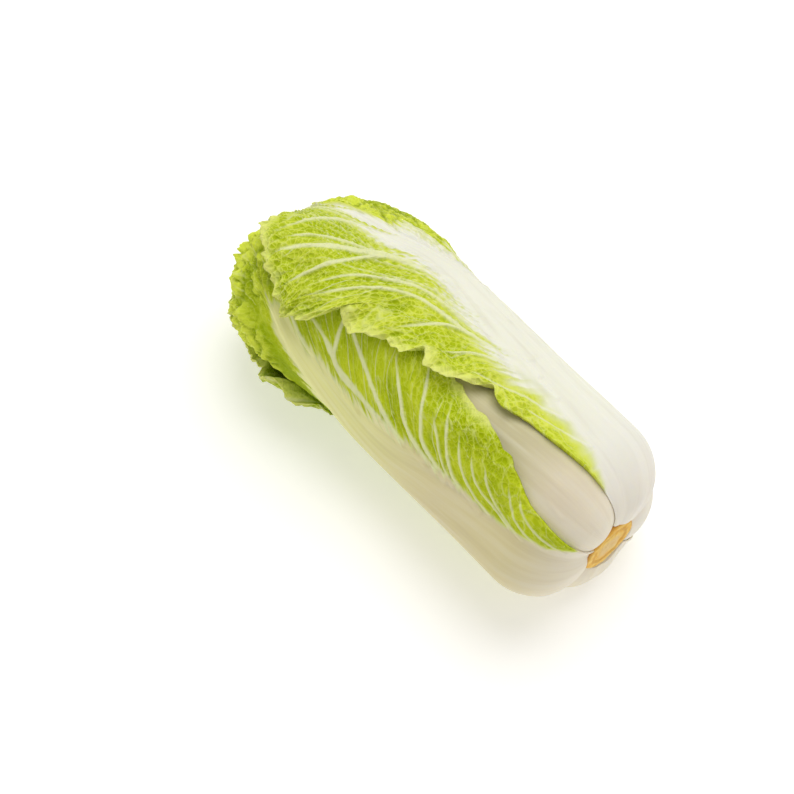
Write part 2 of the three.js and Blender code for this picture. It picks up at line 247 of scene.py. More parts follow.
def rib_half_width(y):
    return RIB_TIP_HALF_WIDTH + (RIB_BASE_HALF_WIDTH - RIB_TIP_HALF_WIDTH) * (1 - smooth(0, 300, y)) ** 1.3


def thickness(x, y):
    share = np.minimum(np.abs(x) / rib_half_width(y), 1)
    return BLADE + along(RIB_THICKNESS, y) * (1 - share**2) ** 1.2


def draped_thickness(x, y):
    half = rib_half_width(y)
    foot = half + mix(8, 18, smooth(40, 160, y))
    return BLADE + along(RIB_THICKNESS, y) * (1 - smooth(0.2 * half, foot, np.abs(x)))


def covers(leaf, x, y, flat, ramp):
    return 1 - smooth(flat, flat + ramp, outside(leaf, x, y))


def gap_at(place):
    return along(GAP, np.where(place["on_dome"], DOME_Y, place["y"]))


def on_heart_leaves(place, height):
    """Adds the heart's own leaves to a height."""
    for leaf in HEART_LEAVES:
        x, y = leaf_coordinates(leaf, place)
        height = height + HEART_LEAF_STEP * covers(leaf, x, y, 9, HEART_DRAPE) * smooth(*HEART_LEAF_FROM, y)
    return height


def lift(under, place):
    gap = gap_at(place)
    height = on_heart_leaves(place, gap)
    for leaf in under:
        x, y = leaf_coordinates(leaf, place)
        height += (draped_thickness(x, y) + gap) * covers(leaf, x, y, LIFT_FLAT, DRAPE)
    return height


def exposure(over, place, calm=CALM):
    bare = np.ones(place["y"].shape)
    for leaf in over:
        bare *= 1 - covers(leaf, *leaf_coordinates(leaf, place), calm, 12)
    return bare


# %% [markdown]
# Side veins leave the rib at a small angle and bend out to the margin. The rows of a leaf's mesh follow
# them, so a vein is a ridge along the rows. A row is numbered at the margin, from 0 at the stem to 40 at
# the tip, and every second one is a side vein.

# %% Rows along the side veins
def margin_stations(leaf, rows):
    steps = 400
    y = np.arange(steps + 1) / steps * leaf["length"]
    rise = np.hypot(np.diff(y), np.diff(half_width(leaf, y)))
    sparse = smooth(45, 75, y[1:]) * (1 - smooth(110, 150, y[1:]))
    sums = np.concatenate([[0], np.cumsum(rise * mix(1, 0.6, sparse))])
    return np.interp(rows / ROWS * sums[-1], sums, y)


def swept(leaf, margin_y, reach, u):
    """Where along the leaf a row is at the share u of its half width."""
    sweep = VEIN_SWEEP * smooth(0, 230, margin_y) * (reach / leaf["width"][-1][1])
    return margin_y - sweep * (1 - np.abs(u) ** VEIN_BEND)


def leaf_spot(leaf, u, rows):
    margin_y = margin_stations(leaf, rows)
    reach = half_width(leaf, margin_y)
    return u * reach, swept(leaf, margin_y, reach, u)


def frill(index, side, rows):
    turn = rows / ROWS * FRILL_WAVES * 2 * math.pi
    wave = np.sin(turn + index * 1.9 + side * 0.8)
    strength = 0.75 + 0.25 * np.sin(turn * 0.31 + index * 2.3 - side)
    return (0.5 + 0.5 * wave) * strength


# %% [markdown]
# The blade between the veins is puffed into small blisters, with a net of finer veins in the creases.
# `cells` makes such a net: every square of a grid has one random point, and a place belongs to the
# nearest of them. The second nearest, less the nearest, is 0 in the creases.

# %% A net of cells
def cells(p, q, seed):
    random = np.random.default_rng(seed).random((64, 64, 2)) * 0.8 + 0.1
    base_p, base_q = np.floor(p).astype(int), np.floor(q).astype(int)
    first, second = np.full(p.shape, 9.0), np.full(p.shape, 9.0)
    for step_p in (-1, 0, 1):
        for step_q in (-1, 0, 1):
            i, j = base_p + step_p, base_q + step_q
            jitter = random[i % 64, j % 64]
            away = np.hypot(i + jitter[..., 0] - p, j + jitter[..., 1] - q)
            second = np.minimum(second, np.maximum(away, first))
            first = np.minimum(first, away)
    return second - first


def swell(p, q, seed):
    """Soft random hills, from -1 to 1."""
    random = np.random.default_rng(seed).random((64, 64)) * 2 - 1
    i, j = np.floor(p).astype(int), np.floor(q).astype(int)
    s, t = smooth(0, 1, p - i), smooth(0, 1, q - j)
    low = mix(random[i % 64, j % 64], random[(i + 1) % 64, j % 64], s)
    high = mix(random[i % 64, (j + 1) % 64], random[(i + 1) % 64, (j + 1) % 64], s)
    return mix(low, high, t)


# %% [markdown]
# Veins fan out of the rib. Both rules here give the distance in millimetres from the edge of the nearest
# vein, negative inside it. `drawn_veins` is for those whose courses are given as points. In `side_veins`
# each has its own width, sway and fork, drawn from a seeded generator. It is broad where it leaves the rib,
# and past its fork it runs on as two thinner ones. Between each two, a thin vein dies out on the way.

# %% Side veins
def vein_number(u, rows, fan):
    """Veins climb more steeply than the rows near the rib: they fan out of it."""
    return rows - fan * smooth(2, 36, rows) * smooth(0, 0.6, np.abs(u))


def vein_gradient(leaf, u, rows, fan):
    """How much the vein number grows per millimetre, square to the veins."""
    x, y = leaf_spot(leaf, u, rows)
    number = vein_number(u, rows, fan)
    step_u, step_row = 0.01 * np.sign(u + 1e-9), 0.05
    x_u, y_u = leaf_spot(leaf, u + step_u, rows)
    x_row, y_row = leaf_spot(leaf, u, rows + step_row)
    number_u = (vein_number(u + step_u, rows, fan) - number) / step_u
    number_row = (vein_number(u, rows + step_row, fan) - number) / step_row
    x_u, y_u = (x_u - x) / step_u, (y_u - y) / step_u
    x_row, y_row = (x_row - x) / step_row, (y_row - y) / step_row
    area = np.maximum(np.abs(x_u * y_row - y_u * x_row), 1e-6)
    return np.hypot(number_u * y_row - number_row * y_u, number_row * x_u - number_u * x_row) / area


def drawn_veins(look, x, y):
    """Veins given as half widths and the places that they pass through."""
    nearest = np.full(x.shape, 99.0)
    for base, tip, places in look["drawn"]:
        share = np.linspace(0, 1, 4 * len(places) - 3)
        at = share * (len(places) - 1)
        line_x = along([[k, place[0]] for k, place in enumerate(places)], at)
        line_y = along([[k, place[1]] for k, place in enumerate(places)], at)
        for k in range(1, len(at)):
            gap_x, gap_y, t = way_to_line(x, y, line_x, line_y, k)
            here = mix(share[k - 1], share[k], t)
            half = mix(base, tip, here) * (1 + 0.25 * swell(x / 9, y / 9, 97)) - 1.1 * smooth(0.8, 1, here)
            nearest = np.minimum(nearest, np.hypot(gap_x, gap_y) - half)
    return nearest


def side_veins(leaf, index, u, rows, look):
    base, spread, tip = look["veins"]
    number = vein_number(u, rows, look["fan"])
    spacing = 1 / np.maximum(vein_gradient(leaf, u, rows, look["fan"]), 0.02)
    side, out = (u > 0).astype(int), np.abs(u)
    nearest, thin = np.full(u.shape, 99.0), np.full(u.shape, 99.0)
    draws = np.random.default_rng(100 + index).random((2, 64, 8))
    for step in (-1, 0, 1):
        k = np.clip(np.rint(number / 2).astype(int) + step, 0, 60)
        draw = np.moveaxis(draws[side, k], -1, 0)
        sway = 0.34 * np.sin(out * (4 + 5 * draw[1]) + 6.28 * draw[2])
        sway += 0.1 * np.sin(out * (19 + 9 * draw[3]) + 6.28 * draw[4])
        centre = 2 * k + ((draw[0] - 0.5) * 0.9 + sway) * smooth(0, 0.4, out)
        centre = centre - 1.6 * smooth(0.95, 0.5, out) * smooth(16, 6, 2 * k)
        fork = 0.38 + 0.42 * draw[3]
        split = (0.6 + 1.3 * draw[4]) * 1.7 * np.maximum(out - fork, 0) ** 0.95
        wide = base + spread * draw[5] ** 2
        width = mix(wide, tip, smooth(0, 0.95, out) ** 0.7) * mix(1, 0.8, smooth(0, 0.05, out - fork))
        width = width - np.where(side == 1, look["quiet"][1], look["quiet"][0])
        for way in (-1, 1):
            nearest = np.minimum(nearest, np.abs(number - centre - way * split) * spacing - width)
        between = centre + 1 + 0.6 * (draw[6] - 0.5)
        end = 0.35 + 0.55 * draw[7]
        weak = 0.6 * (1 - smooth(end, end + 0.15, out)) - 0.3
        thin = np.minimum(thin, np.abs(number - between) * spacing - weak)
    return nearest, thin


# %% [markdown]
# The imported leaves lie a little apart, as solids must. Real leaves press on each other at their margins, so
# `surface` lets the outer part of a leaf sink until it rests on whichever leaf is really under it.

# %% A leaf's smooth form
CLEARANCE = 0.3
SNUG_FROM, SNUG_TO = 34, 6
ROLLED_EDGE, EDGE_THICKNESS = 12, 0.7


def nearest_row(leaf, x, y):
    """The row that passes through a place, found by halving."""
    low, high = np.zeros(x.shape), np.full(x.shape, float(ROWS))
    for _ in range(14):
        middle = (low + high) / 2
        margin_y = margin_stations(leaf, middle)
        reach = half_width(leaf, margin_y)
        u = np.clip(np.abs(x) / np.maximum(reach, 1), 0, 1)
        below = swept(leaf, margin_y, reach, u) < y
        low, high = np.where(below, middle, low), np.where(below, high, middle)
    return (low + high) / 2


def surface(index, x, y, place, rows=None):
    """How high a leaf's inner face is, its thickness, how bare it is, and how far in from its margin."""
    leaf, under, over = WRAPPER_LEAVES[index], WRAPPER_LEAVES[:index], WRAPPER_LEAVES[index + 1:]
    if rows is None:
        rows = nearest_row(leaf, x, y)
    inset, bare = -outside(leaf, x, y), exposure(over, place)
    reach = np.maximum(half_width(leaf, margin_stations(leaf, rows)), 1)
    u = np.clip(x / reach, -1, 1)
    margin = 1 - smooth(0, FRILL_REACH, inset)
    calm = leaf.get("calm", WAVY_FROM)
    wavy = smooth(calm, max(calm + 30, 170), y) * (1 - 0.5 * smooth(leaf["length"] - 60, leaf["length"], y))
    waved = FRILL_HEIGHT * margin * wavy * bare * frill(index, np.sign(u), rows)
    side, rise, start, end = leaf.get("flare", (1, 0, 0, 1))
    middle = (start + end) / 2
    flared = rise * smooth(0.35, 1, u * side) * smooth(start, middle, y) * (1 - smooth(middle, end, y)) * bare
    high = lift(under, place)
    low = on_heart_leaves(place, gap_at(place) * 0.3)
    for number in range(index):
        spot = leaf_coordinates(WRAPPER_LEAVES[number], place)
        below = surface(number, *spot, place)
        top = below["floor"] + below["thick"] + CLEARANCE
        low = np.maximum(low, mix(low, top, smooth(-8, -0.5, below["inset"])))
    snug = smooth(SNUG_FROM, SNUG_TO, inset)
    floor = mix(high, np.minimum(low, high), snug) + waved + flared
    thick = thickness(x, y)
    rolled = np.sqrt(1 - (1 - np.clip(inset / ROLLED_EDGE, 0, 1)) ** 2)
    thinned = np.maximum(EDGE_THICKNESS, thick * mix(rolled, 1, smooth(90, 150, y)))
    thick = np.where(thick > 1.3, thinned, thick)
    return dict(floor=floor, thick=thick, bare=bare, inset=inset, wavy=wavy)


# %% [markdown]
# A leaf starts as a flat grid that `solidify` makes into a slab with a rim. Its vertices know how far across
# the leaf (u), how far along it (row) and on which face they are, and the rules above give each its place.
# What the material needs to know, such as the distance to a vein, is kept as attributes.

# %% Slab of cells
def mesh_from(bm, name):
    """A mesh, and its vertices' places as an array."""
    mesh = bpy.data.meshes.new(name)
    bm.to_mesh(mesh)
    bm.free()
    co = np.empty(len(mesh.vertices) * 3)
    mesh.vertices.foreach_get("co", co)
    return mesh, co.reshape(-1, 3)


def slab(columns, rows):
    bm = bmesh.new()
    bmesh.ops.create_grid(bm, x_segments=columns, y_segments=rows, size=1)
    bmesh.ops.solidify(bm, geom=bm.faces[:], thickness=1)
    bmesh.ops.recalc_face_normals(bm, faces=bm.faces[:])
    return mesh_from(bm, "slab")


def keep_attribute(mesh, name, values):
    mesh.attributes.new(name, "FLOAT", "POINT").data.foreach_set("value", values.astype(np.float32))


def keep_uv(mesh, name, u, v):
    corners = np.empty(len(mesh.loops), int)
    mesh.loops.foreach_get("vertex_index", corners)
    layer = mesh.uv_layers.new(name=name)
    layer.data.foreach_set("uv", np.stack([u[corners], v[corners]], -1).astype(np.float32).ravel())


def add_piece(name, mesh, material):
    mesh.name = name
    mesh.materials.append(material)
    mesh.polygons.foreach_set("use_smooth", np.ones(len(mesh.polygons), bool))
    mesh.update()
    piece = bpy.data.objects.new(name, mesh)
    bpy.context.scene.collection.objects.link(piece)
    print(name, "has", len(mesh.loops) - 2 * len(mesh.polygons), "triangles")
    return piece


SOFT_LIMIT = 2.5


def keep_inside(at):
    """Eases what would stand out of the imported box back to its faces."""
    low, high = np.array(packed_box[0]) * 1000, np.array(packed_box[1]) * 1000
    for axis in range(3):
        past = at[:, axis] - (high[axis] - SOFT_LIMIT)
        at[:, axis] = np.where(past > 0, high[axis] - SOFT_LIMIT * np.exp(-past / SOFT_LIMIT), at[:, axis])
        if axis < 2:
            past = low[axis] + SOFT_LIMIT - at[:, axis]
            at[:, axis] = np.where(past > 0, low[axis] + SOFT_LIMIT * np.exp(-past / SOFT_LIMIT), at[:, axis])
    at[:, 2] = np.maximum(at[:, 2], 0)
    return at


# %% [markdown]
# Shader sums are written as plain Python. `Sum` wraps a socket, and an expression on it adds Math nodes.

# %% Shader helper
class Sum:
    def __init__(self, paint, socket):
        self.paint, self.socket = paint, socket

    def _with(self, operation, other, flip=False):
        pair = (other, self) if flip else (self, other)
        return self.paint.node("ShaderNodeMath", {"operation": operation}, {0: pair[0], 1: pair[1]})

    def __add__(self, other):
        return self._with("ADD", other)

    def __radd__(self, other):
        return self._with("ADD", other, True)

    def __sub__(self, other):
        return self._with("SUBTRACT", other)

    def __rsub__(self, other):
        return self._with("SUBTRACT", other, True)

    def __mul__(self, other):
        return self._with("MULTIPLY", other)

    def __rmul__(self, other):
        return self._with("MULTIPLY", other, True)


class Paint:
    """One material's node tree."""

    def __init__(self, name):
        self.material = bpy.data.materials.new(name)
        self.material.use_nodes = True
        self.tree = self.material.node_tree
        self.shader = self.tree.nodes["Principled BSDF"]

    def node(self, kind, settings=None, inputs=None, output=0):
        made = self.tree.nodes.new(kind)
        for key, value in (settings or {}).items():
            setattr(made, key, value)
        for key, value in (inputs or {}).items():
            self.link(value, made.inputs[key])
        return Sum(self, made.outputs[output])

    def link(self, value, socket):
        if isinstance(value, Sum):
            self.tree.links.new(value.socket, socket)
        else:
            socket.default_value = value

    def attribute(self, name):
        return self.node("ShaderNodeAttribute", {"attribute_name": name}, output="Fac")

    def ease(self, value, low, high):
        """0 below low and 1 above high; turned round if high is below low."""
        settings = {"interpolation_type": "SMOOTHSTEP"}
        return self.node("ShaderNodeMapRange", settings, {"Value": value, "From Min": low, "From Max": high})

    def blend(self, share, first, second):
        made = self.tree.nodes.new("ShaderNodeMix")
        made.data_type = "RGBA"
        self.link(share, made.inputs[0])
        self.link(first, made.inputs[6])
        self.link(second, made.inputs[7])
        return Sum(self, made.outputs[2])

    def noise(self, where, scale, detail=2.0, roughness=0.5):
        inputs = {"Vector": where, "Scale": scale, "Detail": detail, "Roughness": roughness}
        return self.node("ShaderNodeTexNoise", None, inputs)

    def uv(self, name):
        return self.node("ShaderNodeUVMap", {"uv_map": name})

    def set(self, **values):
        for name, value in values.items():
            self.link(value, self.shader.inputs[name.replace("_", " ")])


def colour(red, green, blue):
    """A colour as seen on screen, 0 to 255, made linear for the shader."""
    def linear(v):
        v /= 255
        return v / 12.92 if v <= 0.04045 else ((v + 0.055) / 1.055) ** 2.4
    return (linear(red), linear(green), linear(blue), 1)


# %% [markdown]
# One recipe paints every leaf. Its petiole has one tint at the stem, another above that and a third further
# up. Outwards it goes through pale and fresh tones into the blade's green, which has painted shade in its
# hollows and a paler net, and is deeper near the tip. Crumpled places have painted highlights on their crests
# and painted shade in their creases. Veins are cream, and the margin is pale. Each leaf has its own tints,
# and some petioles' tints are partly painted shade.

# %% Leaf paint
FINE_NET_PER_METRE, CLOUDS_PER_METRE, GRAIN_PER_METRE = 310.0, 30, 350


def blade_green(paint, where, up, fine, deep, light, lines):
    net, crinkle = paint.attribute("net"), paint.attribute("crinkle")
    cloud = paint.noise(where, CLOUDS_PER_METRE, 3)
    bright = paint.blend(0.5, light, colour(222, 232, 110))
    dark = paint.blend(0.6, deep, colour(140, 164, 0))
    green = paint.blend(paint.ease(cloud, 0.32, 0.68), deep, light)
    green = paint.blend(paint.ease(up, 0.18, 0.26) * 0.35, green, colour(152, 178, 0))
    green = paint.blend(paint.attribute("plain") * 0.85, green, colour(160, 186, 0))
    green = paint.blend(paint.ease(net, 0.08, 0.5) * crinkle * 0.55, green, dark)
    # Painted shade: the green darkens in the low hollows between the veins.
    green = paint.blend(paint.attribute("hollow_shade") * 0.75, green, colour(142, 164, 0))
    green = paint.blend(paint.ease(fine, 0.06, 0.26) * crinkle * 0.4, green, dark)
    green = paint.blend(paint.ease(fine, 0.09, 0.01) * (crinkle * 0.5 + 0.12) * lines, green, bright)
    green = paint.blend(paint.ease(net, 0.2, 0.02) * crinkle * 0.75 * lines, green, colour(218, 228, 118))
    # Painted highlight on the crests of crumpled lumps, then painted shade in the clefts between them.
    green = paint.blend(paint.attribute("crest_highlight") * 0.8, green, colour(228, 241, 84))
    return paint.blend(paint.attribute("crease_shade") * 0.7, green, colour(126, 152, 0))


def petiole_white(paint, up, ribbing, base, petiole, upper, turn):
    white = paint.blend(paint.ease(up, 0.01, 0.05), base, petiole)
    white = paint.blend(paint.ease(up, *turn), white, upper)
    bright = paint.blend(0.25, white, colour(246, 245, 238))
    dull = paint.blend(0.5, white, colour(206, 198, 186))
    white = paint.blend(paint.ease(ribbing, 0.35, 0.7), white, bright)
    return paint.blend(paint.ease(ribbing, 0.5, 0.3) * 0.4, white, dull)


def leaf_paint(name, base, petiole, upper, deep, light, lines=1.0, turn=(0.02, 0.09)):
    """`turn` is where along the leaf, in metres, its petiole goes from the one white to the upper one."""
    paint = Paint(name)
    where = paint.uv("leaf")
    up = paint.node("ShaderNodeSeparateXYZ", None, {"Vector": where}, "Y")
    inputs = {"Vector": where, "Scale": FINE_NET_PER_METRE}
    fine = paint.node("ShaderNodeTexVoronoi", {"feature": "DISTANCE_TO_EDGE"}, inputs)
    ribbing, grain = paint.noise(paint.uv("fibres"), 1.0, 3, 0.6), paint.noise(where, GRAIN_PER_METRE, 2)
    blade, crinkle = paint.attribute("blade"), paint.attribute("crinkle")

    green = blade_green(paint, where, up, fine, deep, light, lines)
    white = petiole_white(paint, up, ribbing, base, petiole, upper, turn)
    cream = paint.blend(paint.ease(blade, 0.1, 0.8), white, colour(233, 237, 188))
    fresh = paint.blend(0.5, light, colour(212, 222, 112))
    tone = paint.blend(paint.ease(blade, 0.0, 0.4), white, colour(221, 227, 160))
    tone = paint.blend(paint.ease(blade, 0.25, 0.7), tone, fresh)
    tone = paint.blend(paint.ease(blade, 0.5, 1.0), tone, green)
    crossing = paint.ease(paint.attribute("coarse"), 0.1, 0.0) * paint.ease(blade, 0.3, 0.9)
    tone = paint.blend(crossing * 0.55, tone, colour(224, 231, 146))
    tone = paint.blend(paint.ease(paint.attribute("edge"), 8.0, 0.0) * 0.8, tone, colour(236, 241, 142))
    tone = paint.blend(paint.ease(paint.attribute("thin_vein"), 0.35, -0.25) * 0.6, tone, cream)
    tone = paint.blend(paint.ease(paint.attribute("vein"), 0.9, -0.8) * 0.9, tone, cream)

    pits = (1 - paint.ease(fine, 0.02, 0.3)) * (crinkle * 0.9 + 0.1) * paint.ease(blade, 0.3, 1.0)
    inputs = {"Strength": 0.55, "Distance": 0.0008, "Height": pits + grain * 0.12 + ribbing * 0.15}
    bump = paint.node("ShaderNodeBump", None, inputs)
    paint.set(Base_Color=tone, Normal=bump, Roughness=0.4 + paint.ease(blade, 0.2, 1.0) * 0.1)
    paint.set(Specular_IOR_Level=0.06)
    paint.set(Subsurface_Weight=0.15, Subsurface_Scale=0.002, Subsurface_Radius=(1.0, 0.85, 0.3))
    print(name, "has", len(paint.tree.nodes), "nodes")
    return paint.material


# %% [markdown]
# `leaf_detail` is what every leaf's face has on top of its smooth form: veins as ridges, the pits of the
# net, and soft ribs along the petiole. A leaf's look is a few numbers for this.
# `green` says for places along the leaf how far from the rib, as a share of its half width, the green
# starts and where it is full, and `streak` how much that border wanders. `veins` are half widths, `fan` is
# how far the veins spread, `quiet` thins them on either side, and `drawn` holds veins given as points.
# `depth`, `hollow`, `calm_net` and `ribs` scale the relief, `plain_side` takes the net off the left side,
# `crumpled` lists the zones where the blade is all lumps, and `puff` scales these.

# %% Detail on a leaf's face
NET_CELL, COARSE_CELL = 5.2, 11
LUMP, SMALL_LUMP, WIDE_LUMP = 5.5, 3, 14
PLAIN_GREEN = [
    [0, 1.3, 1.6], [20, 1, 1.3], [60, 0.6, 0.95], [120, 0.4, 0.75], [200, 0.2, 0.5], [260, 0.06, 0.3],
]
PLAIN_LOOK = dict(
    green=PLAIN_GREEN, streak=0.1, depth=1.1, hollow=1.2, calm_net=0.75, ribs=0.3,
    veins=(0.9, 1.8, 0.42), fan=12, quiet=(0, 0), drawn=(), plain_side=0,
    crumpled=((1, -1.2, -1.1, 272, 400),), puff=1,
)


def crumpled(look, u, y):
    """Where the blade is crumpled. Each zone is a side, where across it starts and is full, and along."""
    share, wander = np.zeros(u.shape), swell(u * 6 + 20, y / 16, 99)
    for side, start, full, low, high in look["crumpled"]:
        across = smooth(start, full, u * side + 0.07 * wander)
        share = np.maximum(share, across * smooth(low, low + 20, y + 9 * wander) * smooth(high, high - 12, y))
    return share


def lump_height(index, x, y):
    """Hills and the clefts between them, from 0 to about 1."""
    lump = np.abs(swell(x / LUMP, y / LUMP, 51 + index)) ** 0.7
    lump += 0.35 * np.abs(swell(x / SMALL_LUMP, y / SMALL_LUMP, 53 + index))
    return lump * (0.8 + 0.5 * swell(x / WIDE_LUMP, y / WIDE_LUMP, 55 + index))


def green_share(look, index, out, number, y):
    start = along([[row[0], row[1]] for row in look["green"]], y)
    full = along([[row[0], row[2]] for row in look["green"]], y)
    streak = swell(number * 2.2, out * 3, 17 + index) + 0.6 * swell(number * 5.1, out * 5, 27 + index)
    streak = look["streak"] * streak * mix(0.35, 1, smooth(60, 150, y))
    return smooth(0, 1, (out + streak - start) / (full - start))


def leaf_detail(leaf, index, look, form, u, rows, x, y, moved):
    bare, inset, depth = form["bare"], form["inset"], look["depth"]
    number, lumps = vein_number(u, rows, look["fan"]), crumpled(look, u, y)
    green = np.maximum(green_share(look, index, np.abs(u), number, y), lumps)
    grown = smooth(25, 70, y) * smooth(0.02, 0.25, green)
    vein, thin = side_veins(leaf, index, u, rows, look)
    vein = np.minimum(vein + 3 - 3 * grown, drawn_veins(look, moved, y))
    plain = look["plain_side"] * smooth(-0.12, -0.25, u) * smooth(272, 256, y)
    vein, thin = vein + 3 * plain + 2.5 * lumps, thin + 3 - 3 * grown + 3 * plain + 2 * lumps
    near = smooth(34, 6, inset)
    crinkle = look["calm_net"] + (1 - look["calm_net"]) * near
    crinkle = crinkle * green * mix(0.45, 1, smooth(50, 120, y))
    crinkle = np.maximum(crinkle * (1 - 0.6 * plain), lumps)

    bend_p, bend_q = swell(x / 9, y / 9, 3 + index), swell(x / 9 + 20, y / 9, 4 + index)
    net = cells(np.abs(x) / NET_CELL + 0.4 * bend_p, number * 1.55 + 0.4 * bend_q, 7 + index)
    coarse = cells(np.abs(x) / COARSE_CELL + 0.3 * bend_p, number * 0.9 + 0.3 * bend_q, 57 + index)
    beside = smooth(-0.2, 1.3, vein)
    relief = 1.1 * smooth(1.4, -0.9, vein) + 0.4 * smooth(0.6, -0.2, thin)
    relief += 0.5 * grown * smooth(0.16, 0, coarse)
    relief *= 0.3 + 0.7 * bare
    pit = smooth(0.0, 0.6, net) * beside
    relief += depth * crinkle * (bare * mix(0.6, 1, near) - (0.15 + 0.85 * bare) * pit)
    relief += 0.5 * depth * crinkle * bare * (0.3 + near) * (1 + swell(x / 4.6, y / 4.6, 71 + index))
    relief += 1.4 * near * green * bare * np.abs(swell(x / 6, y / 6, 75 + index)) ** 0.7
    wide_hills = swell(x / 14, y / 17, 31 + index)
    relief += look["hollow"] * (wide_hills + near) * green * bare * beside
    # Mask for painted shade: the low hollows between the veins, where the wide hills dip, scaled by depth.
    hollow_shade = smooth(1.5, 6, vein) * smooth(0.5, -0.4, wide_hills) * (1 - near) * (1 - lumps) * depth
    across = x / rib_half_width(y)
    ribs = np.sin(across * 15 + 1.8 * swell(across * 2.5 + 9, y / 70, 5 + index)) + 0.4 * np.sin(across * 41)
    relief += look["ribs"] * ribs * (1 - green) * smooth(12, 60, y) * (0.2 + 0.8 * bare)
    lump = lump_height(index, moved, y)
    # The two lump masks are for painted light: shade in the clefts between lumps and a highlight on their
    # crests.
    return dict(
        relief=relief, across=across, lumps=lumps, lump=lump, blade=green, vein=vein, thin_vein=thin, net=net,
        coarse=coarse + plain, crinkle=crinkle, plain=plain, hollow_shade=hollow_shade,
        crease_shade=lumps * smooth(0.42, 0.05, lump), crest_highlight=lumps * smooth(0.25, 0.65, lump),
    )


PAINTED = ("blade", "vein", "thin_vein", "net", "coarse", "crinkle", "plain", "hollow_shade", "crease_shade", "crest_highlight", "edge")


def keep_detail(mesh, detail, x, y):
    """What the leaf paint reads."""
    for name in PAINTED:
        keep_attribute(mesh, name, detail[name])
    keep_uv(mesh, "leaf", x * 0.001, y * 0.001)
    keep_uv(mesh, "fibres", detail["across"] * 5, y / 120)


# %% [markdown]
# A leaf's margin isn't a clean curve. It is ragged, it has a few deep notches where two lobes meet, and it is
# gathered into small folds, because a leaf's margin grows longer than the leaf under it.

# %% Margins
FOLD_ROWS = 1.3


def ragged(leaf, index, side, rows):
    """How far the margin stands out of its smooth line, in millimetres."""
    at = rows + 13 * side + 7 * index + 64
    push = 3.8 * swell(at * 0.75, side + 9, 61) + 1.4 * swell(at * 1.9, side + 5, 62)
    push += 0.3 * swell(at * 5.3, side + 5, 63)
    margin_y = margin_stations(leaf, rows)
    for notch_side, notch_y, depth, length in leaf.get("notches", ()):
        push = push - depth * np.exp(-(((margin_y - notch_y) / length) ** 2)) * (side == notch_side)
    return push


def folded(index, side, u, rows, inset):
    """How far the gathered folds lift the margin of a leaf that lies loose."""
    fold = np.sin(2 * np.pi * rows / FOLD_ROWS + 3.2 * swell(rows * 0.5, 3 * side + 8, 41 + index))
    fold_size = 0.6 + 0.5 * swell(rows * 0.7, 5 * side + 9, 43 + index)
    rise = 1.9 * fold_size * (1 + fold) * smooth(16, 0, inset)
    return rise + 0.9 * (1 + swell(rows * 1.5, np.abs(u) * 14, 47 + index)) * smooth(12, 0, inset)


# %% [markdown]
# `make_leaf` puts it together. `shift` slides the rib sideways, with what is drawn on it, and leaves the
# margins where they are. Where the straight barrel turns into the round top, leaf coordinates have a kink,
# so a leaf's floor is averaged over a few millimetres there, and no step shows.

# %% Leaf pieces
EASE_FROM, EASE_FULL = 12, 6


def eased_at_dome(index, x, y, moved, rows, floor):
    near = np.abs(y - DOME_Y) < EASE_FROM
    total = np.zeros(near.sum())
    steps = np.linspace(-EASE_FULL, EASE_FULL, 7)
    for step in steps:
        place = place_on(WRAPPER_LEAVES[index], moved[near], y[near] + step)
        total += surface(index, x[near], y[near] + step, place, rows[near])["floor"]
    eased = floor.copy()
    share = smooth(EASE_FROM, EASE_FULL, np.abs(y[near] - DOME_Y))
    eased[near] = mix(floor[near], total / len(steps), share)
    return eased


def make_leaf(index, material, columns, row_count, ruffle=1.0, shift=((0, 0), (1, 0)), **look):
    leaf, look = WRAPPER_LEAVES[index], PLAIN_LOOK | look
    mesh, co = slab(columns, row_count)
    t, top = co[:, 0], co[:, 2] > -0.5
    u = 1.2 * t - 0.2 * t**3
    rows = (co[:, 1] + 1) / 2 * ROWS
    side = np.sign(u)
    x, y = leaf_spot(leaf, u, rows)
    calm = leaf.get("calm", WAVY_FROM)
    tattered = ragged(leaf, index, side, rows) * smooth(calm - 25, calm + 50, y) * smooth(0.7, 1, np.abs(u))
    moved = x + side * tattered + along(shift, y) * (1 - u * u)
    place = place_on(leaf, moved, y)
    form = surface(index, x, y, place, rows)
    inset, bare, wavy, thick = form["inset"], form["bare"], form["wavy"], form["thick"]
    floor = eased_at_dome(index, x, y, moved, rows, form["floor"])
    detail = leaf_detail(leaf, index, look, form, u, rows, x, y, moved)

    floor = floor + wavy * bare * ruffle * folded(index, side, u, rows, inset)
    uncovered = np.sqrt(exposure(WRAPPER_LEAVES[index + 1:], place, 0))
    floor = floor + look["puff"] * uncovered * detail["lumps"] * (0.6 + 5.5 * detail["lump"])

    outer = floor + thick + detail["relief"]
    rim = smooth(5, 0, inset) * smooth(60, 130, y)
    under_relief = np.minimum(detail["relief"], 0) * (1 - rim)
    inner = floor + rim * np.maximum(outer - floor - EDGE_THICKNESS, 0) + under_relief
    at = keep_inside(to_frame(place, np.where(top, outer, inner)))
    mesh.vertices.foreach_set("co", (at * 0.001).ravel())
    detail["edge"] = inset + (1 - np.clip(wavy * 2, 0, 1)) * 20
    keep_detail(mesh, detail, moved, y)
    piece = add_piece(leaf["name"] + "_fine", mesh, material)
    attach(piece, "root")
    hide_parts(leaf["name"])


# %% [markdown]
# The two leaves at the front are seen best, so the borders of their green and their broad veins are given as
# points. A vein is its half width at the rib, its half width at the end, and its places as (across, along).

